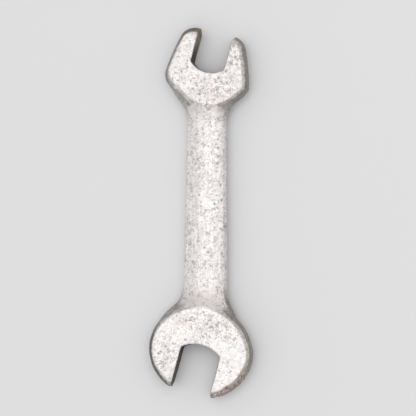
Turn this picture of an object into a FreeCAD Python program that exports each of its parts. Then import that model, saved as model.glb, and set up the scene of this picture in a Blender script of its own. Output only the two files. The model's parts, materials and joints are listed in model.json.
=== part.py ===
"""A drop-forged double open-end wrench, drawn as three regions of its one forging.

Frame while drawing: X across the shank, Y along it towards the small jaw, Z through the
thickness, with the forging's parting plane at Z = 0. At the end the whole wrench is moved so
that the middle of the bottom of its box is the origin.
"""
import FreeCAD, Part
import math
import os

import Sketcher

# Driving dimensions, in millimetres and degrees. A jaw's own frame has its origin at the
# deepest point of the mouth's floor and its Y axis pointing straight out of the mouth. A jaw's
# left and right are as seen looking out of its mouth. Levels are heights along that Y axis.
DIMENSIONS = {
    # The two flat, parallel faces of the heads, and the draft of the forging from its parting line
    "head_thickness": 6.35,
    "draft_width": 1.65,
    # The angle between each mouth and the shank
    "jaw_angle": 15.0,
    # Shank: a flattened oval that widens a little towards the large jaw
    "shank_thickness": 5.5,
    "shank_edge_radius": 1.5,
    "shank_small_end": 27.0,
    "shank_large_end": -21.8,
    "shank_width_small_end": 12.8,
    "shank_width_large_end": 14.1,
    # Small jaw: where its mouth's floor lies, its mouth, and its cheeks, heel and tips
    "small_floor_across": 0.1,
    "small_floor_along": 45.0,
    "small_opening": 11.3,
    "small_floor_radius": 8.6,
    "small_tip_reach": 13.4,
    "small_left_tip_inner": 7.2,
    "small_left_tip_outer": 11.6,
    "small_left_tip_level": 10.3,
    "small_left_tip_radius": 5.7,
    "small_left_cheek": 13.7,
    "small_left_cheek_level": -3.0,
    "small_left_cheek_bow": 62.3,
    "small_left_heel": 11.3,
    "small_left_heel_level": -6.8,
    "small_left_heel_radius": 12.5,
    "small_right_tip_inner": 6.0,
    "small_right_tip_outer": 10.0,
    "small_right_tip_level": 10.9,
    "small_right_tip_radius": 5.7,
    "small_right_cheek": 14.8,
    "small_right_cheek_level": -2.3,
    "small_right_cheek_bow": 62.3,
    "small_right_heel_radius": 17.6,
    "small_heel_left": 4.8,
    "small_heel_right": 7.3,
    "small_heel_level": -10.6,
    "small_heel_radius": 13.5,
    # Small neck: the round flares from the shank to the head. A neck's left is -X at both ends.
    "small_neck_left_start": 29.1,
    "small_neck_left_radius": 13.5,
    "small_neck_right_start": 27.5,
    "small_neck_right_radius": 11.9,
    "small_neck_step": 1.8,
    "small_neck_end": 38.9,
    "small_neck_end_left": 10.2,
    "small_neck_end_right": 12.0,
    # Large jaw: as above. Its left is +X, because its mouth opens the other way.
    "large_floor_across": -0.3,
    "large_floor_along": -43.0,
    "large_opening": 12.9,
    "large_floor_radius": 10.6,
    "large_tip_reach": 15.7,
    "large_left_tip_inner": 7.2,
    "large_left_shoulder": 13.9,
    "large_left_shoulder_level": 9.9,
    "large_left_tip_radius": 16.6,
    "large_left_cheek": 15.9,
    "large_left_cheek_level": -2.6,
    "large_left_cheek_radius": 13.5,
    "large_right_tip_inner": 7.9,
    "large_right_shoulder": 14.2,
    "large_right_shoulder_level": 11.6,
    "large_right_tip_radius": 16.6,
    "large_right_cheek": 16.7,
    "large_right_cheek_level": -3.1,
    "large_right_cheek_radius": 14.0,
    "large_heel_radius": 17.9,
    # Large neck
    "large_neck_left_start": -22.3,
    "large_neck_left_radius": 12.5,
    "large_neck_right_start": -24.4,
    "large_neck_right_radius": 13.5,
    "large_neck_step": -2.1,
    "large_neck_end": -34.2,
    "large_neck_end_left": 13.8,
    "large_neck_end_right": 10.3,
}

# How many sections each neck has along its flares
FLARE_SECTIONS = 4
# Cubic millimetres that a mouth must at least remove from its head
LEAST_MOUTH_VOLUME = 100

document = FreeCAD.newDocument("open_end_wrench")


def make_sheet():
    """Write the driving dimensions to the sheet, one row each, with the name as the alias."""
    sheet = document.addObject("Spreadsheet::Sheet", "Dims")
    for row, (name, value) in enumerate(DIMENSIONS.items(), start=1):
        sheet.set(f"A{row}", name)
        sheet.set(f"B{row}", str(value))
        sheet.setAlias(f"B{row}", name)
    document.recompute()
    return sheet


sheet = make_sheet()


def bound(text):
    """Turn a formula that uses the dimensions' names into an expression on the sheet."""
    words = text.replace("(", "( ").replace(")", " )").split()
    return " ".join("Dims." + word if word in DIMENSIONS else word for word in words)


def value_of(text):
    """The number that a formula on the sheet gives now."""
    return float(sheet.evalExpression(bound(text)))


def origin_plane(body, role):
    for feature in body.Origin.OriginFeatures:
        if feature.Role == role:
            return feature
    raise ValueError(role)


def flat_sketch(body, name, role):
    sketch = body.newObject("Sketcher::SketchObject", name)
    sketch.AttachmentSupport = [(origin_plane(body, role), "")]
    sketch.MapMode = "FlatFace"
    return sketch


def place_point(sketch, edge, end, across, up):
    """Hold one end of an edge at formulas for its two coordinates."""
    for kind, formula in (("DistanceX", across), ("DistanceY", up)):
        index = sketch.addConstraint(
            Sketcher.Constraint(kind, -1, 1, edge, end, value_of(formula)))
        sketch.setExpression(f"Constraints[{index}]", bound(formula))


def set_radius(sketch, edge, formula):
    index = sketch.addConstraint(Sketcher.Constraint("Radius", edge, value_of(formula)))
    sketch.setExpression(f"Constraints[{index}]", bound(formula))


def draw_outline(sketch, corners):
    """A closed outline, counterclockwise. Each corner is its two coordinates and the radius of
    the outward arc that leads to the next corner, or None for a straight edge."""
    points = [FreeCAD.Vector(value_of(x), value_of(y), 0) for x, y, radius in corners]
    for number, (x, y, radius) in enumerate(corners):
        start = points[number]
        end = points[(number + 1) % len(points)]
        if radius is None:
            edge = sketch.addGeometry(Part.LineSegment(start, end), False)
        else:
            chord = end - start
            size = value_of(radius)
            rise = size - math.sqrt(size ** 2 - (chord.Length / 2) ** 2)
            outward = FreeCAD.Vector(chord.y, -chord.x, 0).normalize()
            edge = sketch.addGeometry(Part.Arc(start, (start + end) / 2 + outward * rise, end), False)
        place_point(sketch, edge, 1, x, y)
        if radius is not None:
            set_radius(sketch, edge, radius)
    for number in range(len(corners)):
        following = (number + 1) % len(corners)
        sketch.addConstraint(Sketcher.Constraint("Coincident", number, 2, following, 1))


def draw_oval(sketch, left, right):
    """The shank's section: a low crown above and below, and round edges, all tangent."""
    edge_radius = "shank_edge_radius"
    crest = "shank_thickness / 2"
    half = f"( ( {right} ) - ( {left} ) ) / 2 - {edge_radius}"
    crown = (f"( ( {half} ) ^ 2 + ( {crest} ) ^ 2 - {edge_radius} ^ 2 )"
             f" / ( 2 * ( {crest} - {edge_radius} ) )")
    small = value_of(edge_radius)
    large = value_of(crown)
    middle = (value_of(left) + value_of(right)) / 2
    reach = value_of(half)
    lift = large - value_of(crest)
    lean = math.atan2(lift, reach)
    up = FreeCAD.Vector(0, 0, 1)
    circles = (
        (FreeCAD.Vector(middle + reach, 0, 0), small, -lean, lean),
        (FreeCAD.Vector(middle, -lift, 0), large, lean, math.pi - lean),
        (FreeCAD.Vector(middle - reach, 0, 0), small, math.pi - lean, math.pi + lean),
        (FreeCAD.Vector(middle, lift, 0), large, math.pi + lean, 2 * math.pi - lean),
    )
    for centre, radius, first, last in circles:
        sketch.addGeometry(Part.ArcOfCircle(Part.Circle(centre, up, radius), first, last), False)
    for edge in range(4):
        sketch.addConstraint(Sketcher.Constraint("Tangent", edge, 2, (edge + 1) % 4, 1))
    place_point(sketch, 0, 3, f"( {right} ) - {edge_radius}", "0")
    place_point(sketch, 2, 3, f"( {left} ) + {edge_radius}", "0")
    for edge, radius in enumerate((edge_radius, crown, edge_radius, crown)):
        set_radius(sketch, edge, radius)


def oval_loft(body, name, stations):
    """Loft the oval through stations, each its place along Y and its left and right limits."""
    sketches = []
    for number, (along, left, right) in enumerate(stations):
        sketch = flat_sketch(body, f"{name}_section_{number}", "XZ_Plane")
        sketch.setExpression("AttachmentOffset.Base.z", bound(f"0 - ( {along} )"))
        draw_oval(sketch, left, right)
        sketches.append(sketch)
    document.recompute()
    loft = body.newObject("PartDesign::AdditiveLoft", name)
    loft.Profile = sketches[0]
    loft.Sections = sketches[1:]
    document.recompute()
    return loft


def make_body(name):
    body = document.addObject("PartDesign::Body", name)
    body.Label = name
    return body


# The shank's left and right limits at its two ends
SMALL_END = ("shank_small_end", "0 - shank_width_small_end / 2", "shank_width_small_end / 2")
LARGE_END = ("shank_large_end", "0 - shank_width_large_end / 2", "shank_width_large_end / 2")


def make_shank():
    body = make_body("shank")
    oval_loft(body, "shank_loft", (LARGE_END, SMALL_END))
    return body


def flare(size, side, along):
    """How far a neck's round flare stands out from the shank at a place along Y."""
    start = f"{size}_neck_{side}_start"
    radius = f"{size}_neck_{side}_radius"
    return f"{radius} - sqrt( {radius} ^ 2 - ( {along} - {start} ) ^ 2 )"


def neck_stations(size, end):
    """The neck's sections: the shank's end, then some along the flares, then one in the head."""
    along, left, right = end
    stations = [end]
    for number in range(1, FLARE_SECTIONS + 1):
        place = f"{size}_neck_left_start + {number} * {size}_neck_step"
        stations.append((
            place,
            f"( {left} ) - ( {flare(size, 'left', place)} )",
            f"( {right} ) + ( {flare(size, 'right', place)} )",
        ))
    stations.append((f"{size}_neck_end", f"0 - {size}_neck_end_left", f"{size}_neck_end_right"))
    return stations


def add_head(body, size, outline, turn):
    """The head: the outline at the parting plane, drafted to both faces, with its mouth cut."""
    def jaw_sketch(name):
        sketch = flat_sketch(body, name, "XY_Plane")
        sketch.setExpression("AttachmentOffset.Base.x", bound(f"{size}_floor_across"))
        sketch.setExpression("AttachmentOffset.Base.y", bound(f"{size}_floor_along"))
        sketch.AttachmentOffset = FreeCAD.Placement(
            FreeCAD.Vector(0, 0, 0), FreeCAD.Rotation(FreeCAD.Vector(0, 0, 1), 1))
        sketch.setExpression("AttachmentOffset.Rotation.Angle", bound(turn))
        return sketch

    half = "head_thickness / 2"
    sketch = jaw_sketch(f"{size}_head_outline")
    draw_outline(sketch, outline)
    document.recompute()
    pad = body.newObject("PartDesign::Pad", f"{size}_head_pad")
    pad.Profile = sketch
    pad.SideType = "Two sides"
    for length, taper in (("Length", "TaperAngle"), ("Length2", "TaperAngle2")):
        pad.setExpression(length, bound(half))
        pad.setExpression(taper, bound(f"-1 * atan( draft_width / ( {half} ) )"))
    document.recompute()

    # The mouth runs from its round floor out past the tips
    wide = f"{size}_opening / 2"
    floor = f"{size}_floor_radius"
    corner = f"{floor} - sqrt( {floor} ^ 2 - ( {wide} ) ^ 2 )"
    past = f"{size}_tip_reach + draft_width"
    mouth = jaw_sketch(f"{size}_mouth_outline")
    draw_outline(mouth, (
        (f"0 - {wide}", corner, floor),
        (wide, corner, None),
        (wide, past, None),
        (f"0 - {wide}", past, None),
    ))
    document.recompute()
    solid_before = body.Shape.Volume
    pocket = body.newObject("PartDesign::Pocket", f"{size}_mouth")
    pocket.Profile = mouth
    pocket.Type = "ThroughAll"
    pocket.SideType = "Symmetric"
    document.recompute()
    if body.Shape.Volume > solid_before - LEAST_MOUTH_VOLUME:
        raise RuntimeError(f"the {size} mouth removed nothing")


def make_small_head():
    body = make_body("small_jaw_head")
    oval_loft(body, "small_neck", neck_stations("small", SMALL_END))
    add_head(body, "small", (
        ("0 - small_left_tip_inner", "small_tip_reach", "small_left_tip_radius"),
        ("0 - small_left_tip_outer", "small_left_tip_level", "small_left_cheek_bow"),
        ("0 - small_left_cheek", "small_left_cheek_level", "small_left_heel_radius"),
        ("0 - small_left_heel", "small_left_heel_level", None),
        ("0 - small_heel_left", "small_heel_level", "small_heel_radius"),
        ("small_heel_right", "small_heel_level", "small_right_heel_radius"),
        ("small_right_cheek", "small_right_cheek_level", "small_right_cheek_bow"),
        ("small_right_tip_outer", "small_right_tip_level", "small_right_tip_radius"),
        ("small_right_tip_inner", "small_tip_reach", None),
    ), "0 - jaw_angle")
    return body


def make_large_head():
    body = make_body("large_jaw_head")
    oval_loft(body, "large_neck", neck_stations("large", LARGE_END))
    add_head(body, "large", (
        ("0 - large_left_tip_inner", "large_tip_reach", "large_left_tip_radius"),
        ("0 - large_left_shoulder", "large_left_shoulder_level", "large_left_cheek_radius"),
        ("0 - large_left_cheek", "large_left_cheek_level", "large_heel_radius"),
        ("large_right_cheek", "large_right_cheek_level", "large_right_cheek_radius"),
        ("large_right_shoulder", "large_right_shoulder_level", "large_right_tip_radius"),
        ("large_right_tip_inner", "large_tip_reach", None),
    ), "180 - jaw_angle")
    return body


bodies = [make_small_head(), make_shank(), make_large_head()]
document.recompute()


def check(bodies):
    """Stop before anything is written if an object failed or a shape is not a sound solid."""
    for item in document.Objects:
        if "Invalid" in item.State or "Error" in item.State:
            raise RuntimeError(f"{item.Name} failed")
    for body in bodies:
        if body.Shape.isNull() or not body.Shape.isValid() or len(body.Shape.Solids) != 1:
            raise RuntimeError(f"{body.Label} is not one sound solid")


def move_to_origin(bodies):
    """Put the origin at the middle of the bottom of the whole wrench's box."""
    whole = FreeCAD.BoundBox()
    for body in bodies:
        whole.add(body.Shape.optimalBoundingBox(False, False))
    shift = FreeCAD.Vector(-whole.Center.x, -whole.Center.y, -whole.ZMin)
    for body in bodies:
        body.Placement = FreeCAD.Placement(shift, FreeCAD.Rotation())
    document.recompute()
    print("box", [round(side, 3) for side in (whole.XLength, whole.YLength, whole.ZLength)])
    print("shift", [round(number, 3) for number in shift])


check(bodies)
move_to_origin(bodies)
check(bodies)
os.makedirs("parts", exist_ok=True)
for body in bodies:
    body.Shape.exportStep(f"parts/{body.Label}.step")
    print(body.Label, "volume", round(body.Shape.Volume, 1))
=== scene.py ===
"""The looks of a worn, drop-forged double open-end wrench: one seamless, pitted steel forging."""
import json
import math
import random

import bpy
import numpy as np
from mathutils import Matrix, Vector, kdtree


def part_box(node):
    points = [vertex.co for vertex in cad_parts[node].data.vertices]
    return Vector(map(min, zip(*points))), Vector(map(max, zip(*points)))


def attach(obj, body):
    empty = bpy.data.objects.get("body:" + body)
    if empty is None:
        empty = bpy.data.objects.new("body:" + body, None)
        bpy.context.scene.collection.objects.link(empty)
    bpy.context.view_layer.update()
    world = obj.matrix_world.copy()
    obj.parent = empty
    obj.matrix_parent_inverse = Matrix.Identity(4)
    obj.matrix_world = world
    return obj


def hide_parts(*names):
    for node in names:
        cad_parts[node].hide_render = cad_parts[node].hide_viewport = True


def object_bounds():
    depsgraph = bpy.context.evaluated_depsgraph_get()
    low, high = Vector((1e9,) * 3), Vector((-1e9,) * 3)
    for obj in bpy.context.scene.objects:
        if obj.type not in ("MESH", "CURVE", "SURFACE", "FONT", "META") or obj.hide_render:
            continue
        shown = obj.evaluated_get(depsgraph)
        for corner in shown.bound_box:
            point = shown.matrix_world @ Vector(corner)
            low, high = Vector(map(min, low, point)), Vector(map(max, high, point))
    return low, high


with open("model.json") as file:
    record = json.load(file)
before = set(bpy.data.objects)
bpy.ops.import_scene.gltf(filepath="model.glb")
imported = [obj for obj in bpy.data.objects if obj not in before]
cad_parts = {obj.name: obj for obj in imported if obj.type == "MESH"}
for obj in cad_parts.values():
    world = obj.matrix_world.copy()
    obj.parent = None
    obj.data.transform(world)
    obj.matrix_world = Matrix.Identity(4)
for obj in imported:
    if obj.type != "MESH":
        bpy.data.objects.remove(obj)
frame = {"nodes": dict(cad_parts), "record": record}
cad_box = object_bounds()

MM = 0.001

# ---------------------------------------------------------------------------------------------
# Places, all from the frame. The forging is sculpted in millimetres. Left and right are as seen
# from above with the small head away from the viewer.
# ---------------------------------------------------------------------------------------------
NODES = ("small_jaw_head", "shank", "large_jaw_head")
MOUNTS = {mount["name"]: mount for mount in frame["record"]["mounts"]}
LOW, HIGH = (np.array(corner) / MM for corner in cad_box)
THICKNESS = HIGH[2] - LOW[2]
MIDDLE = (HIGH[2] + LOW[2]) / 2


class Jaw:
    """One jaw's own frame: origin at the middle of the nut, out of the mouth is +Y.

    Across the mouth, +X is to the right at the small jaw and to the left at the large one.
    """

    def __init__(self, size, depth):
        self.seat = np.array(MOUNTS[f"{size}_nut_seat"]["pos_m"][:2]) / MM
        left = MOUNTS[f"{size}_jaw_left_flat"]
        self.across = np.array(left["axis"][:2])
        self.out = np.array([-self.across[1], self.across[0]])
        wall = np.array(left["pos_m"][:2]) / MM
        self.half_opening = float(-(wall - self.seat) @ self.across)
        self.depth = depth

    def local(self, points):
        """Points' places across the mouth and out of it."""
        offset = points[:, :2] - self.seat
        return offset @ self.across, offset @ self.out

    def holds(self, points, beside, below):
        """Which points lie in the mouth, or this little beside its walls and below its floor."""
        across, out = self.local(points)
        return (np.abs(across) < self.half_opening + beside) & (out > -self.depth - below)


SMALL = Jaw("small", depth=7)
LARGE = Jaw("large", depth=8)


# ---------------------------------------------------------------------------------------------
# Small tools for sculpting with arrays
# ---------------------------------------------------------------------------------------------
# Large odd numbers that scramble a lattice point's place into a random value
HASH_AXES = np.array([73856093, 19349663, 83492791])
HASH_SEED = 40503
HASH_MIXERS = ((15, 2246822519), (13, 3266489917))
HASH_WORD = 0xFFFFFFFF
HASH_HALF = 0xFFFF


def ramp(values, low, high):
    """0 below low, 1 above high and smooth between."""
    t = np.clip((values - low) / (high - low), 0, 1)
    return t * t * (3 - 2 * t)


def between(values, rise, fall):
    """1 between two ramps. Each is given by where it starts and ends."""
    return ramp(values, *rise) * (1 - ramp(values, *fall))


def bump(values, middle, half_width):
    """1 at middle, 0 a half width or more away, smooth between."""
    t = np.clip(1 - np.abs(values - middle) / half_width, 0, 1)
    return t * t * (3 - 2 * t)


def lattice_noise(points, size, seed):
    """Smooth noise from -1 to 1 with features about size mm across, the same on every run."""
    scaled = points / size
    cell = np.floor(scaled).astype(np.int64)
    part = scaled - cell
    part = part * part * (3 - 2 * part)
    total = np.zeros(len(points))
    for corner in range(8):
        step = np.array([corner & 1, (corner >> 1) & 1, corner >> 2])
        key = (cell + step) * HASH_AXES
        mixed = (key[:, 0] ^ key[:, 1] ^ key[:, 2] ^ (seed * HASH_SEED)) & HASH_WORD
        for bits, factor in HASH_MIXERS:
            mixed = ((mixed ^ (mixed >> bits)) * factor) & HASH_WORD
        value = (mixed & HASH_HALF) / (HASH_HALF / 2) - 1
        total += value * np.prod(np.where(step, part, 1 - part), axis=1)
    return total


def rough_noise(points, size, seed, octaves=3, span=1.5):
    """Noise with finer and fainter layers on top, brought back to about -1 to 1 by its span."""
    layers = [lattice_noise(points, size / 2 ** k, seed + k) / 2 ** k for k in range(octaves)]
    return sum(layers) / span


class Surface:
    """A closed quad mesh as arrays: points in mm, edges for smoothing and triangles."""

    def __init__(self, mesh):
        self.points = np.empty(len(mesh.vertices) * 3)
        mesh.vertices.foreach_get("co", self.points)
        self.points = self.points.reshape(-1, 3) / MM
        self.edges = np.empty(len(mesh.edges) * 2, np.int64)
        mesh.edges.foreach_get("vertices", self.edges)
        self.edges = self.edges.reshape(-1, 2)
        self.degree = np.bincount(self.edges.ravel(), minlength=len(self.points))
        mesh.calc_loop_triangles()
        self.triangles = np.empty(len(mesh.loop_triangles) * 3, np.int64)
        mesh.loop_triangles.foreach_get("vertices", self.triangles)
        self.triangles = self.triangles.reshape(-1, 3)

    def spread(self, values):
        """Each vertex's mean over its neighbours."""
        total = np.zeros_like(values)
        for start, end in (self.edges.T, self.edges.T[::-1]):
            for column in range(values.shape[1]):
                total[:, column] += np.bincount(start, values[end, column], len(values))
        return total / self.degree[:, None]

    def normals(self):
        a, b, c = (self.points[self.triangles[:, k]] for k in range(3))
        cross = np.cross(b - a, c - a)
        total = np.zeros_like(self.points)
        for k in range(3):
            for axis in range(3):
                total[:, axis] += np.bincount(self.triangles[:, k], cross[:, axis], len(total))
        return total / np.maximum(np.linalg.norm(total, axis=1), 1e-12)[:, None]

    def hollowness(self, normal):
        """How far each vertex lies below its neighbours' mean: negative on a ridge."""
        return np.sum((self.spread(self.points) - self.points) * normal, axis=1)

    def relax(self, rounds, shrink=0.5, grow=0.53):
        """Smooth away the remesh's steps without shrinking."""
        for _ in range(rounds):
            for step in (shrink, -grow):
                self.points += step * (self.spread(self.points) - self.points)

    def bend_to_neighbours(self, rounds, sign, weight, limit):
        """Fill hollows (sign 1) or round off ridges (sign -1), by at most limit mm."""
        start = self.points.copy()
        for _ in range(rounds):
            normal = self.normals()
            pull = self.hollowness(normal)
            pull = np.where(pull * sign > 0, pull, 0) * weight
            self.points += normal * pull[:, None]
            moved = self.points - start
            length = np.linalg.norm(moved, axis=1)
            held = np.minimum(1, limit / np.maximum(length, 1e-9))
            self.points = start + moved * held[:, None]


# ---------------------------------------------------------------------------------------------
# The forging's mesh
# ---------------------------------------------------------------------------------------------
VOXEL = 0.255
WELD = 0.001
# How far each end of the shank's copy runs into its neck, so that the three fuse
OVERLAP = 1.0


def joined_nodes():
    """One object holding copies of the three regions, the shank's ends run into its necks."""
    points, faces = [], []
    for name in NODES:
        mesh = frame["nodes"][name].data
        first = len(points)
        low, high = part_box(name)
        centre = (low.y + high.y) / 2
        stretch = 1 + 2 * OVERLAP * MM / (high.y - low.y) if name == "shank" else 1
        for vertex in mesh.vertices:
            x, y, z = vertex.co
            points.append((x, centre + (y - centre) * stretch, z))
        faces.extend([first + index for index in face.vertices] for face in mesh.polygons)
    mesh = bpy.data.meshes.new("wrench_forging")
    mesh.from_pydata(points, [], faces)
    piece = bpy.data.objects.new("wrench_forging", mesh)
    bpy.context.scene.collection.objects.link(piece)
    return piece


def remesh(piece):
    """Fuse the copies into one even mesh of quads."""
    weld = piece.modifiers.new("weld", "WELD")
    weld.merge_threshold = WELD * MM
    fuse = piece.modifiers.new("fuse", "REMESH")
    fuse.mode = "VOXEL"
    fuse.voxel_size = VOXEL * MM
    graph = bpy.context.evaluated_depsgraph_get()
    mesh = bpy.data.meshes.new_from_object(piece.evaluated_get(graph))
    piece.modifiers.clear()
    rough = piece.data
    piece.data = mesh
    bpy.data.meshes.remove(rough)
    mesh.name = "wrench_forging"


# ---------------------------------------------------------------------------------------------
# Where things lie on it
# ---------------------------------------------------------------------------------------------
# Along the wrench: where the shank's finish fades in and out, and the same for shank and necks
SHANK_STRETCH = ((-30, -22), (27, 35))
NECK_STRETCH = ((-37, -34), (38, 41))
# Beside a mouth's walls and below its floor: how far its dark walls reach (oxide deepened as painted
# shade), and the necks' fillets don't
MOUTH_REACH = (0.3, 0.0)
FILLET_CLEARANCE = (1.0, 1.0)


def regions(surface):
    """Where each vertex lies, as values that the sculpting and the colours share."""
    points = surface.points
    normal = surface.normals()
    upright = np.abs(normal[:, 2])
    small_x, small_y = SMALL.local(points)
    large_x, large_y = LARGE.local(points)
    level = np.abs(points[:, 2] - MIDDLE) / (THICKNESS / 2)
    in_mouth = SMALL.holds(points, *MOUTH_REACH) | LARGE.holds(points, *MOUTH_REACH)
    by_mouth = SMALL.holds(points, *FILLET_CLEARANCE) | LARGE.holds(points, *FILLET_CLEARANCE)
    return {
        "small_x": small_x, "small_y": small_y, "large_x": large_x, "large_y": large_y,
        "normal": normal,
        "level": level,
        "mouth": in_mouth & (upright < 0.7),
        "by_mouth": by_mouth,
        "face": ramp(upright, 0.935, 0.985) * ramp(level, 0.935, 0.975),
        "shank": between(points[:, 1], *SHANK_STRETCH),
        "neck": between(points[:, 1], *NECK_STRETCH),
    }


def rim_distance(surface, place):
    """How far in from the heads' outer rim each vertex lies, in mm."""
    points = surface.points
    steep = np.abs(place["normal"][:, 2]) < 0.6
    rim = (place["level"] < 0.2) & steep & ~place["mouth"] & (place["neck"] < 0.5)
    chosen = np.flatnonzero(rim)
    tree = kdtree.KDTree(len(chosen))
    for index in chosen:
        tree.insert((points[index, 0], points[index, 1], 0), index)
    tree.balance()
    return np.array([tree.find((x, y, 0))[2] for x, y, z in points])


# ---------------------------------------------------------------------------------------------
# Its shape
# ---------------------------------------------------------------------------------------------
# The crease between a head's steep rim and its bevel: its level between the parting line (0) and
# the face (1), and how far it stands out past the CAD's single draft
RIM_LEVEL = 0.68
RIM_SWELL = 0.46
# Where the left heels stand out past the CAD: across, along, reach and amount
HEEL_SWELLS = (
    (-8.6, 37.5, 7.0, 0.85),
    (-12.0, 43.2, 3.5, 0.45),
    (-10.6, -32.0, 5.5, 0.70),
)
# How far the back edge of the large mouth's left wall leans away from the mouth
WALL_LEAN = 0.40
# Nicks in the shank: across from its axis, along, radius and depth
SHANK_NICKS = (
    (5.2, 8.6, 0.50, 0.20),
    (5.6, 3.8, 0.60, 0.30),
    (6.5, -4.8, 0.70, 0.35),
    (5.8, -13.5, 0.60, 0.20),
)
# Where pits gather: jaw, middle across and out of its mouth, widths across and out, and amount
PIT_PATCHES = (
    ("small", (0.0, -11.0), (7.0, 4.5), 1.8),
    ("large", (-0.5, -14.0), (7.5, 4.0), 1.6),
    ("large", (11.0, 0.0), (3.5, 6.0), 1.3),
)
# The density at which the pits' colours are at their fullest
THICKLY_PITTED = 2.2
# How much smaller, shallower and fainter than the most allowed a pit can be
PIT_RADIUS_SHARE = (0.7, 1.0)
PIT_DEPTH_SHARE = (0.6, 1.0)
PIT_TONE_SHARE = (0.75, 1.0)
POCK_DEPTH = 0.05
# The corroded tip: how deep the corrosion eats everywhere, and how much deeper its bites are
EATEN_DEPTH = 0.10
BITE_DEPTH = 0.50


def swell_heels(surface):
    """Widen the bevel round the heels on the left of both heads, mostly at the parting line."""
    points = surface.points
    normal = surface.normals()
    level = np.abs(points[:, 2] - MIDDLE) / (THICKNESS / 2)
    amount = np.zeros(len(points))
    for across, along, reach, most in HEEL_SWELLS:
        distance = np.hypot(points[:, 0] - across, points[:, 1] - along)
        amount = np.maximum(amount, most * bump(distance, 0, reach))
    amount = amount * np.clip(1 - level ** 2, 0, 1)
    points[:, :2] += normal[:, :2] * amount[:, None]


def facet_sides(surface, place):
    """Bend each head's draft into two facets: a steep rim at the parting line, then a bevel."""
    level = place["level"]
    normal = place["normal"]
    outward = normal[:, :2] / np.maximum(np.linalg.norm(normal[:, :2], axis=1), 1e-6)[:, None]
    swell = np.minimum(level / RIM_LEVEL, (1 - level) / (1 - RIM_LEVEL))
    side = (1 - ramp(np.abs(normal[:, 2]), 0.75, 0.95)) * (1 - place["neck"])
    amount = RIM_SWELL * np.clip(swell, 0, 1) * side * ~place["mouth"]
    surface.points[:, :2] += outward * amount[:, None]


def lean_wall(surface):
    """Lean the large mouth's left wall back from the face's edge."""
    points = surface.points
    across, along = LARGE.local(points)
    near = bump(across, LARGE.half_opening, 1.5) * ramp(along, -LARGE.depth, -3)
    depth = np.clip((HIGH[2] - points[:, 2]) / THICKNESS, 0, 1)
    points[:, :2] += np.outer(WALL_LEAN * depth * near, LARGE.across)


def roughen_skin(surface, place):
    """The trimmed flash round the parting line, and the unevenness that dies and wear leave."""
    points = surface.points
    normal = place["normal"]
    side = 1 - ramp(np.abs(normal[:, 2]), 0.55, 0.9)
    height = np.abs(points[:, 2] - MIDDLE)
    ridge = bump(height, 0, 0.5) * (0.07 + 0.05 * rough_noise(points, size=2.5, seed=21))
    crease = bump(height, RIM_LEVEL * THICKNESS / 2, 0.25) * 0.04
    shift = side * ~place["mouth"] * (ridge - crease)
    # The faces are worn smoother than the rest
    rest = 1 - place["face"]
    shift += (0.03 + 0.05 * rest) * lattice_noise(points, size=8.0, seed=31)
    shift += (0.012 + 0.022 * rest) * lattice_noise(points, size=2.8, seed=32)
    shift += (0.010 + 0.016 * rest) * rough_noise(points, size=0.9, seed=33)
    surface.points = points + normal * shift[:, None]


def scatter_pits(surface, density, count, radii, depth, seed):
    """Round pits where density is high. Returns how deep in a pit each vertex is, 0 to 1."""
    chance = random.Random(seed)
    points = surface.points
    normal = surface.normals()
    tree = kdtree.KDTree(len(points))
    for index, point in enumerate(points):
        tree.insert(point, index)
    tree.balance()
    hollow = np.zeros(len(points))
    sunk = np.zeros(len(points))
    running = np.cumsum(density)
    for _ in range(count):
        centre = int(np.searchsorted(running, chance.random() * running[-1]))
        radius = chance.uniform(*radii) * chance.uniform(*PIT_RADIUS_SHARE)
        deep = depth * (radius / radii[1]) * chance.uniform(*PIT_DEPTH_SHARE)
        for place, index, distance in tree.find_range(points[centre], radius):
            fall = (1 - (distance / radius) ** 2) ** 1.5
            sunk[index] = max(sunk[index], deep * fall)
            hollow[index] = max(hollow[index], fall * chance.uniform(*PIT_TONE_SHARE))
    surface.points = points - normal * sunk[:, None]
    return hollow


def knock_dents(surface, place):
    """Dents where the surface turns over an edge. Returns how deep in one each vertex lies."""
    edge = between(np.abs(place["normal"][:, 2]), (0.05, 0.5), (0.5, 0.95))
    return scatter_pits(surface, edge ** 2 + 1e-6, count=110, radii=(0.4, 1.0), depth=0.20, seed=41)


def knock_nicks(surface):
    """Small nicks near the shank's right edge. Returns how deep in one each vertex lies."""
    low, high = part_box("shank")
    axis = (low.x + high.x) / 2 / MM
    points = surface.points
    above = points[:, 2] > MIDDLE - 0.5
    nicked = np.zeros(len(points))
    sunk = np.zeros(len(points))
    for across, along, radius, deep in SHANK_NICKS:
        distance = np.hypot(points[:, 0] - axis - across, points[:, 1] - along)
        near = bump(distance, 0, radius) * above
        sunk = np.maximum(sunk, near * deep)
        nicked = np.maximum(nicked, near)
    surface.points = points - surface.normals() * sunk[:, None]
    return nicked


def pit_density(surface, place):
    """How thickly pits gather: in patches, in the small head's web and on the large one's back."""
    gather = 0.25 + ramp(rough_noise(surface.points, size=5.0, seed=51), -0.25, 0.75)
    for jaw, middle, width, amount in PIT_PATCHES:
        across = (place[f"{jaw}_x"] - middle[0]) / width[0]
        out = (place[f"{jaw}_y"] - middle[1]) / width[1]
        gather = gather + amount * np.exp(-(across ** 2 + out ** 2))
    # More on both small jaws, and on everything that isn't a face
    gather += 0.8 * ramp(place["small_y"], -6, 0)
    gather += 0.5 * (1 - place["face"])
    return gather


def sink_pocks(surface, place, gather):
    """Shallow worm-like pocks where pits gather. Returns how deep in one each vertex lies."""
    points = surface.points
    worms = rough_noise(points * (1, 1, 0.6), size=1.0, seed=57)
    worms = worms + 0.5 * lattice_noise(points, size=0.5, seed=58)
    pocks = ramp(worms, 0.25, 0.80) * ramp(gather, 0.1, 1.8)
    surface.points = points - place["normal"] * (POCK_DEPTH * pocks)[:, None]
    return pocks


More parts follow.
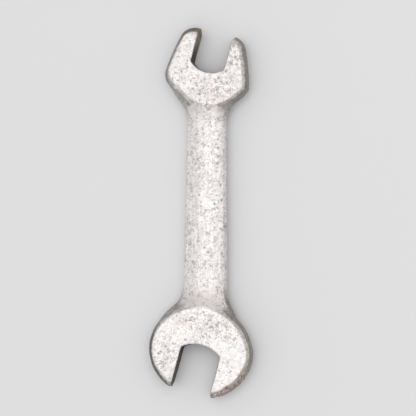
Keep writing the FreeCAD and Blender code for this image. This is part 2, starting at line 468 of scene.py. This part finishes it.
def eat_tip(surface, place, inset):
    """Corrode the outer edge of the large head's right tip. Returns how far each vertex is."""
    points = surface.points
    rightward = -place["large_x"]
    crumbs = rough_noise(points, size=1.3, seed=64)
    drift = 2.5 * rough_noise(points, size=3.0, seed=62)
    along = ramp(rightward, 5.5, 7.5) * ramp(place["large_y"] + drift, -7.5, 1.0)
    ragged = inset + 0.7 * rough_noise(points, size=2.2, seed=61) + 0.5 * crumbs
    edge = along * (1 - ramp(ragged, 0.80, 1.6)) * ~place["mouth"]
    # Thickest under the face's edge, broken up lower down
    broken = ramp(rough_noise(points, size=1.8, seed=66), -0.35, 0.35)
    upper = ramp(points[:, 2], MIDDLE + 0.2, MIDDLE + 1.8)
    edge = edge * (upper + (1 - upper) * broken)
    bites = np.clip(crumbs + 0.35, 0, 1)
    depth = edge * (EATEN_DEPTH + BITE_DEPTH * bites)
    surface.points = points - place["normal"] * depth[:, None]
    return edge


def shape_forging(surface):
    """Sculpt the fused mesh from its fillets to its pits. Returns the places for the colours."""
    surface.relax(rounds=3)
    place = regions(surface)
    # The soft blend from each neck into its head
    surface.bend_to_neighbours(rounds=150, sign=1, weight=0.9 * ~place["by_mouth"], limit=1.6)
    swell_heels(surface)
    facet_sides(surface, place)
    # Edges rounded by wear, more in some stretches than in others
    wear = 0.55 + 0.45 * lattice_noise(surface.points, size=6.0, seed=11)
    surface.bend_to_neighbours(rounds=4, sign=-1, weight=0.7 * wear, limit=0.12)
    smooth = regions(surface)
    inset = rim_distance(surface, smooth)
    ridges = -surface.hollowness(smooth["normal"])

    roughen_skin(surface, smooth)
    dents = knock_dents(surface, smooth)
    nicks = knock_nicks(surface)
    gather = pit_density(surface, smooth)
    pocks = sink_pocks(surface, smooth, gather)
    fine = scatter_pits(surface, gather, count=3300, radii=(0.20, 0.42), depth=0.06, seed=52)
    coarse = scatter_pits(surface, gather ** 2, count=160, radii=(0.40, 0.75), depth=0.14, seed=53)
    eaten = eat_tip(surface, regions(surface), inset)

    place = regions(surface)
    place["pocks"] = pocks
    place["pits"] = np.maximum.reduce([0.6 * fine, coarse, 0.4 * dents, nicks])
    place["eaten"] = eaten
    place["gather"] = np.clip(gather / THICKLY_PITTED, 0, 1)
    # Bright on convex edges: real wear, and a painted highlight along them
    place["worn"] = ramp(ridges, 0.015, 0.04)
    # The colours' borders follow the smooth shape
    place["face"] = smooth["face"]
    place["upright"] = np.abs(smooth["normal"][:, 2])
    lean_wall(surface)
    return place


# ---------------------------------------------------------------------------------------------
# What the steel's material reads at each vertex
# ---------------------------------------------------------------------------------------------
def small_head_stains(surface, place, bevel):
    """Tan at the small head's left tip, brown at its right heel, and how far each reaches."""
    points = surface.points
    shade = ramp(rough_noise(points, size=3.0, seed=71), -0.6, 0.9)
    reach = place["small_y"] + 1.5 * rough_noise(points, size=2.5, seed=72)
    left_tip = ramp(reach, -1.5, 5.0) * (1 - ramp(place["small_x"], -3, 0))
    on_face = 0.30 * shade * ramp(place["small_y"], 2.5, 5.0)
    tan = left_tip * np.maximum(bevel, on_face)
    right_heel = bump(place["small_x"], 8.0, 5.5) * bump(place["small_y"], -14.0, 5.0)
    stain = np.clip(tan * (0.8 + 0.3 * shade) + 0.5 * right_heel * bevel * shade, 0, 1)
    return stain, left_tip, right_heel


def rim_and_left_shade(place, bevel, right_heel, at_large):
    """Painted shade: the darker steep rim round both heads with a dark line along its crease, and
    darker left-facing bevels, worst on the large one.
    """
    level = place["level"]
    outer = ~place["mouth"]
    leftward = ramp(-place["normal"][:, 0], 0.1, 0.7) * outer
    # Both fade towards the necks
    large_fade = ramp(-place["large_y"], 5, 12)
    small_fade = ramp(-place["small_y"], 9, 15)
    # Painted shade: a dark line along the crease between rim and bevel, and the steep rim below it
    # darker
    line = bump(level, RIM_LEVEL, 0.10) * bevel * outer
    rim = bevel * (1 - ramp(level, RIM_LEVEL - 0.06, RIM_LEVEL + 0.04)) * outer
    rim = rim * (1 - 0.5 * right_heel) * (1 - 0.45 * at_large * leftward * large_fade)
    rim = rim * (1 - 0.5 * leftward * ~at_large * small_fade)
    # Painted shade on the left-facing bevels: how strong it is on each head
    left_shade_amount = np.where(at_large, 1 - 0.7 * large_fade, 0.6 * (1 - 0.85 * small_fade))
    return np.clip(0.75 * rim + 0.4 * line, 0, 1), bevel * leftward * left_shade_amount


def paint_fields(mesh, surface, place):
    """Store what the material needs at each vertex."""
    upright = place["upright"]
    at_large = surface.points[:, 1] < 0
    heads = 1 - place["shank"]
    face = heads * place["face"]
    bevel = (1 - place["face"]) * (1 - ramp(upright, 0.86, 0.985))
    neck = heads * (1 - place["face"]) * (1 - bevel)
    # The mouths' walls: dark oxide, deepened as painted shade
    wall = place["mouth"] * (1.0 - ramp(upright, 0.5, 0.8))
    stain, left_tip, right_heel = small_head_stains(surface, place, bevel)
    rim, left_shade = rim_and_left_shade(place, bevel, right_heel, at_large)
    fields = {
        "pits": place["pits"],
        # bright edges: wear, and a painted highlight
        "worn": place["worn"],
        "pocks": place["pocks"],
        "gather": place["gather"],
        "bevel": bevel * heads,
        # painted shade on the steep rim and along its crease
        "rim": rim,
        # painted shade on the left-facing bevels
        "left_shade": left_shade,
        "stain": stain,
        "eaten": place["eaten"],
        # mouth walls: oxide and painted shade
        "wall": wall * (1 - 0.75 * left_tip),
        # painted shade on the necks, and a slightly duller tone on the faces, more on the small head
        "neck_shade_and_dull_face": neck * np.where(at_large, 1.0, 0.7) + face * np.where(at_large, 0.06, 0.22),
        "shank": place["shank"],
    }
    for name, values in fields.items():
        attribute = mesh.attributes.new(name, "FLOAT", "POINT")
        attribute.data.foreach_set("value", values.astype(np.float32))
    return tuple(fields)


# ---------------------------------------------------------------------------------------------
# The steel
# ---------------------------------------------------------------------------------------------
def rgb(red, green, blue):
    return (red, green, blue, 1.0)


# The worn face and what lies on it
BRIGHT = rgb(0.97, 0.945, 0.935)
CLOUDED = rgb(0.88, 0.845, 0.83)
# Painted shade on the necks, where the shank blends into the heads, and a duller tone on the faces
DULL_AND_NECK_SHADE = rgb(0.56, 0.525, 0.505)
STREAKED = rgb(0.70, 0.66, 0.64)
BLOTCHED = rgb(0.60, 0.55, 0.545)
FLECKED = rgb(0.60, 0.555, 0.55)
REDDISH = rgb(0.72, 0.60, 0.57)
POCKED = rgb(0.40, 0.35, 0.35)
PINHOLED = rgb(0.34, 0.295, 0.29)
POCKETED = rgb(0.36, 0.315, 0.31)
PITTED = rgb(0.26, 0.225, 0.22)
# Worn edges, brightened also as a painted highlight
WORN_EDGE_HIGHLIGHT = rgb(0.95, 0.92, 0.90)
# The bevels' rough grey finish, darker partly as painted shade, and the painted shade on their rims
# and left sides
SIDE_LIGHT = rgb(0.80, 0.765, 0.73)
SIDE_DARK = rgb(0.50, 0.47, 0.44)
# Painted shade on the steep rim below the crease
RIM_SHADE = rgb(0.23, 0.208, 0.19)
# Painted shade for the bevels that face left, away from the light
LEFT_SHADE_DARK = rgb(0.10, 0.088, 0.080)
# Oxide on the mouths' walls, deepened as painted shade, the brown stains and the corroded tip
OXIDE_SHADE_DARK = rgb(0.032, 0.024, 0.020)
OXIDE_SHADE_LIGHT = rgb(0.12, 0.096, 0.080)
BROWN_LIGHT = rgb(0.27, 0.215, 0.16)
BROWN_DARK = rgb(0.14, 0.105, 0.08)
RUST_DARK = rgb(0.11, 0.065, 0.052)
RUST_LIGHT = rgb(0.50, 0.40, 0.35)
RUST_SCALE = rgb(0.82, 0.76, 0.73)

BUMP_STRENGTH = 0.6
BUMP_DISTANCE = 0.18


class Nodes:
    """Short calls for building a material's node tree. Sizes are in millimetres."""

    def __init__(self, tree):
        self.tree = tree

    @classmethod
    def of_material(cls, name):
        """Calls that build a new material, whose tree starts empty."""
        material = bpy.data.materials.new(name)
        material.use_nodes = True
        material.node_tree.nodes.clear()
        nodes = cls(material.node_tree)
        nodes.material = material
        return nodes

    def add(self, kind, inputs=None, **settings):
        node = self.tree.nodes.new(kind)
        for key, value in settings.items():
            setattr(node, key, value)
        for key, value in (inputs or {}).items():
            if isinstance(value, bpy.types.NodeSocket):
                self.tree.links.new(value, node.inputs[key])
            else:
                node.inputs[key].default_value = value
        return node

    def field(self, name):
        return self.add("ShaderNodeAttribute", attribute_name=name).outputs["Fac"]

    def math(self, operation, first, second, clamp=False):
        node = self.add("ShaderNodeMath", {0: first, 1: second}, operation=operation)
        node.use_clamp = clamp
        return node.outputs[0]

    def times(self, first, second):
        return self.math("MULTIPLY", first, second)

    def plus(self, first, second, clamp=False):
        return self.math("ADD", first, second, clamp)

    def noise(self, size, detail=3.0, roughness=0.55, distortion=0.0, stretch=1.0):
        """Noise from 0 to 1 with features about this size, drawn out along the shank."""
        place = self.add("ShaderNodeTexCoord").outputs["Object"]
        drawn = self.add("ShaderNodeVectorMath", {0: place, 1: (1, 1 / stretch, 1)},
                         operation="MULTIPLY")
        node = self.add("ShaderNodeTexNoise", {
            "Vector": drawn.outputs[0], "Scale": 1 / (size * MM), "Detail": detail,
            "Roughness": roughness, "Distortion": distortion})
        return node.outputs["Fac"]

    def specks(self, size, share):
        """Ragged pits, one in each cell about this size, in a share of the cells."""
        cell = size * MM
        place = self.add("ShaderNodeTexCoord").outputs["Object"]
        wobble = self.add("ShaderNodeTexNoise", {"Vector": place, "Scale": 1.6 / cell, "Detail": 1.0})
        moved = self.add("ShaderNodeVectorMath", {
            0: wobble.outputs["Color"], 1: (cell, cell, cell), 2: place}, operation="MULTIPLY_ADD")
        cells = self.add("ShaderNodeTexVoronoi", {"Vector": moved.outputs[0], "Scale": 1 / cell})
        chance = self.add("ShaderNodeSeparateColor", {"Color": cells.outputs["Color"]})
        chosen = self.math("LESS_THAN", chance.outputs["Red"], share)
        return self.times(chosen, self.range(cells.outputs["Distance"], 0.22, 0.48, 1.0, 0.0))

    def range(self, value, low, high, out_low=0.0, out_high=1.0):
        """Out low at low, out high at high, straight between and level beyond."""
        node = self.add("ShaderNodeMapRange", {
            "Value": value, "From Min": low, "From Max": high,
            "To Min": out_low, "To Max": out_high})
        return node.outputs["Result"]

    def mix(self, factor, first, second):
        """The first colour where factor is 0 and the second where it is 1."""
        node = self.tree.nodes.new("ShaderNodeMix")
        node.data_type = "RGBA"
        for socket, value in ((0, factor), (6, first), (7, second)):
            if isinstance(value, bpy.types.NodeSocket):
                self.tree.links.new(value, node.inputs[socket])
            else:
                node.inputs[socket].default_value = value
        return node.outputs[2]

    def lay(self, coat, where, strength, under):
        """A coat of colour at this strength over the colour under it."""
        return self.mix(self.times(where, strength), under, coat)


def steel_patterns(n, field):
    """The noises and specks that the steel's colour, roughness and relief share."""
    pattern = {
        "mottle": n.noise(1.1, detail=4.0, roughness=0.65, distortion=0.8),
        "speckle": n.noise(0.42, detail=2.0, roughness=0.5),
        "cloud": n.noise(6, detail=3.0, roughness=0.5),
        "grain": n.noise(0.6, detail=2.0, roughness=0.5, stretch=9.0),
        "blush": n.noise(4.2, detail=3.0, roughness=0.6),
    }
    clumps = n.range(n.noise(2.4, detail=2.0, roughness=0.5), 0.40, 0.62, 0.25, 1.0)
    cluster = n.times(n.range(field["gather"], 0.0, 1.0, 0.18, 1.0), clumps)
    pattern["cluster"] = cluster
    pattern["pinholes"] = n.specks(0.55, n.times(cluster, 0.75))
    pattern["pockets"] = n.specks(1.0, n.times(cluster, 0.45))
    pattern["holes"] = n.math(
        "MAXIMUM", field["pits"], n.math("MAXIMUM", pattern["pinholes"], pattern["pockets"]))
    return pattern


def face_colour(n, field, pattern):
    """Bright worn steel, darker on the necks as painted shade and a little duller on the faces,
    mottled, with faint lines down the shank.
    """
    colour = n.mix(n.range(pattern["cloud"], 0.35, 0.7), BRIGHT, CLOUDED)
    # Painted shade on the necks, and a duller tone on the faces
    colour = n.lay(DULL_AND_NECK_SHADE, field["neck_shade_and_dull_face"], 0.95, colour)
    lines = n.range(pattern["grain"], 0.42, 0.62, 0.0, 0.5)
    colour = n.lay(STREAKED, field["shank"], lines, colour)
    blotches = n.range(pattern["mottle"], 0.48, 0.60)
    colour = n.lay(BLOTCHED, blotches, n.range(pattern["cluster"], 0.0, 0.8, 0.4, 1.0), colour)
    colour = n.lay(FLECKED, n.range(pattern["speckle"], 0.54, 0.66), 0.6, colour)
    # Faint clouds of reddish brown
    colour = n.mix(n.range(pattern["blush"], 0.56, 0.70, 0.0, 0.32), colour, REDDISH)
    # Oxide in the pits
    colour = n.lay(POCKED, field["pocks"], 0.85, colour)
    colour = n.lay(PINHOLED, pattern["pinholes"], 0.62, colour)
    colour = n.lay(POCKETED, pattern["pockets"], 0.55, colour)
    return n.lay(PITTED, field["pits"], 0.7, colour)


def side_colour(n, field, pattern):
    """Rough grey bevels, darker than the faces partly as painted shade, with painted shade on the
    steep rim and on the left-facing sides.
    """
    # The bevels' own rough finish, darkened partly as painted shade
    side = n.mix(n.range(pattern["mottle"], 0.38, 0.60), SIDE_LIGHT, SIDE_DARK)
    # Painted shade on the steep rim
    side = n.mix(field["rim"], side, RIM_SHADE)
    # Painted shade on the left-facing bevels
    return n.lay(LEFT_SHADE_DARK, field["left_shade"], 0.9, side)


def steel_colour(n, field, pattern):
    """Face and sides with worn edges, partly a painted highlight, dark oxidised mouth walls deepened
    as painted shade, brown stains and rust.
    """
    colour = face_colour(n, field, pattern)
    # The bevels' rougher finish, darker partly as painted shade
    colour = n.lay(side_colour(n, field, pattern), field["bevel"], 0.95, colour)
    # Worn edges brightened, partly a painted highlight
    colour = n.lay(WORN_EDGE_HIGHLIGHT, field["worn"], 0.45, colour)
    # Dark oxide on the mouths' walls, deepened as painted shade
    wall_oxide_and_shade = n.mix(n.range(pattern["mottle"], 0.40, 0.62), OXIDE_SHADE_DARK, OXIDE_SHADE_LIGHT)
    colour = n.lay(wall_oxide_and_shade, field["wall"], 0.95, colour)
    brown = n.mix(n.range(pattern["speckle"], 0.4, 0.6), BROWN_LIGHT, BROWN_DARK)
    colour = n.lay(brown, field["stain"], n.range(pattern["cloud"], 0.3, 0.6, 0.8, 1.0), colour)
    rust = n.mix(n.range(pattern["mottle"], 0.38, 0.52), RUST_DARK, RUST_LIGHT)
    rust = n.lay(RUST_SCALE, n.specks(0.9, 0.55), 0.85, rust)
    return n.mix(field["eaten"], colour, rust)


def forged_steel(field_names):
    n = Nodes.of_material("forged_steel")
    field = {name: n.field(name) for name in field_names}
    pattern = steel_patterns(n, field)

    rough = n.range(pattern["mottle"], 0.3, 0.7, 0.36, 0.50)
    rough = n.plus(rough, n.times(pattern["holes"], 0.2))
    rough = n.plus(rough, n.times(field["bevel"], 0.12))
    rough = n.plus(rough, n.times(field["stain"], 0.2), clamp=True)
    metal = n.range(n.math("MAXIMUM", field["stain"], field["eaten"]), 0.0, 1.0, 0.96, 0.45)

    relief = n.plus(n.times(pattern["mottle"], 0.6), n.times(pattern["speckle"], 0.4))
    relief = n.math("SUBTRACT", relief, n.times(pattern["holes"], 0.3))
    height = n.add("ShaderNodeBump", {
        "Height": relief, "Strength": BUMP_STRENGTH, "Distance": BUMP_DISTANCE * MM})
    shader = n.add("ShaderNodeBsdfPrincipled", {
        "Base Color": steel_colour(n, field, pattern), "Metallic": metal, "Roughness": rough,
        "Normal": height.outputs["Normal"]})
    n.add("ShaderNodeOutputMaterial", {"Surface": shader.outputs["BSDF"]})
    return n.material


def make_forging():
    piece = joined_nodes()
    remesh(piece)
    mesh = piece.data
    surface = Surface(mesh)
    place = shape_forging(surface)
    mesh.vertices.foreach_set("co", (surface.points * MM).astype(np.float32).ravel())
    field_names = paint_fields(mesh, surface, place)
    mesh.update()
    mesh.shade_smooth()
    mesh.materials.clear()
    mesh.materials.append(forged_steel(field_names))
    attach(piece, "root")
    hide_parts(*NODES)
    print("forging:", len(mesh.vertices), "vertices,", len(surface.triangles), "triangles")


# ---------------------------------------------------------------------------------------------
# Stage, light and camera, in metres
# ---------------------------------------------------------------------------------------------
FLOOR_HALF = 1.6
FLOOR_GAP = 0.00005
FLOOR_COLOUR = rgb(0.80, 0.80, 0.805)
FLOOR_ROUGHNESS = 0.85
WHITE = rgb(1, 1, 1)
# How bright the studio is on the left and on the right
STUDIO_LEFT = 0.94
STUDIO_RIGHT = 0.42


def make_floor():
    mesh = bpy.data.meshes.new("floor")
    corners = [(-FLOOR_HALF, -FLOOR_HALF), (FLOOR_HALF, -FLOOR_HALF),
               (FLOOR_HALF, FLOOR_HALF), (-FLOOR_HALF, FLOOR_HALF)]
    level = float(cad_box[0].z) - FLOOR_GAP
    mesh.from_pydata([(x, y, level) for x, y in corners], [], [(0, 1, 2, 3)])
    floor = bpy.data.objects.new("floor", mesh)
    bpy.context.scene.collection.objects.link(floor)
    n = Nodes.of_material("floor")
    shader = n.add("ShaderNodeBsdfPrincipled", {
        "Base Color": FLOOR_COLOUR, "Roughness": FLOOR_ROUGHNESS})
    n.add("ShaderNodeOutputMaterial", {"Surface": shader.outputs["BSDF"]})
    mesh.materials.append(n.material)


def area_light(name, place, size, watts):
    """A soft square light that faces the wrench."""
    data = bpy.data.lights.new(name, "AREA")
    data.size = size
    data.energy = watts
    light = bpy.data.objects.new(name, data)
    light.location = place
    light.rotation_mode = "QUATERNION"
    light.rotation_quaternion = (-Vector(place)).to_track_quat("-Z", "Y")
    bpy.context.scene.collection.objects.link(light)


def make_light():
    area_light("key_softbox", place=(0.16, 0.12, 0.95), size=1.26, watts=3.5)
    area_light("right_softbox", place=(1.1, 0.30, 0.35), size=0.7, watts=0.6)
    world = bpy.data.worlds.new("studio")
    world.use_nodes = True
    background = world.node_tree.nodes["Background"]
    background.inputs["Color"].default_value = WHITE
    n = Nodes(world.node_tree)
    way = n.add("ShaderNodeSeparateXYZ", {0: n.add("ShaderNodeTexCoord").outputs["Generated"]})
    brightness = n.range(way.outputs["X"], -1, 1, STUDIO_LEFT, STUDIO_RIGHT)
    n.tree.links.new(brightness, background.inputs["Strength"])
    bpy.context.scene.world = world


# The camera looks down on the wrench from a little to its right
CAMERA_WAY = Vector((0.223, -0.054, 1.0)).normalized()
CAMERA_DISTANCE = 0.6436
CAMERA_LENS = 172.7
CAMERA_SENSOR = 36
CAMERA_CLIP = (0.01, 20)
CAMERA_ROLL = math.radians(0.46)
AIM_RIGHT = 0.61 * MM
AIM_UP = 1.29 * MM


def make_camera():
    """Aim at the middle of the shank's axis, with that point a little off the picture's middle."""
    shank_low, shank_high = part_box("shank")
    target = (shank_low + shank_high) / 2
    target.y = (cad_box[0].y + cad_box[1].y) / 2
    right = (-CAMERA_WAY).cross(Vector((0, 1, 0))).normalized()
    up = right.cross(-CAMERA_WAY)
    roll_right = right * math.cos(CAMERA_ROLL) + up * math.sin(CAMERA_ROLL)
    roll_up = up * math.cos(CAMERA_ROLL) - right * math.sin(CAMERA_ROLL)
    place = target + CAMERA_WAY * CAMERA_DISTANCE + roll_right * AIM_RIGHT + roll_up * AIM_UP
    data = bpy.data.cameras.new("camera")
    data.lens = CAMERA_LENS
    data.sensor_width = CAMERA_SENSOR
    data.clip_start, data.clip_end = CAMERA_CLIP
    camera = bpy.data.objects.new("camera", data)
    axes = Matrix((roll_right, roll_up, CAMERA_WAY)).transposed()
    camera.matrix_world = Matrix.Translation(place) @ axes.to_4x4()
    bpy.context.scene.collection.objects.link(camera)
    bpy.context.scene.camera = camera


make_forging()
make_floor()
make_light()
make_camera()
bpy.context.scene.view_settings.view_transform = "Standard"
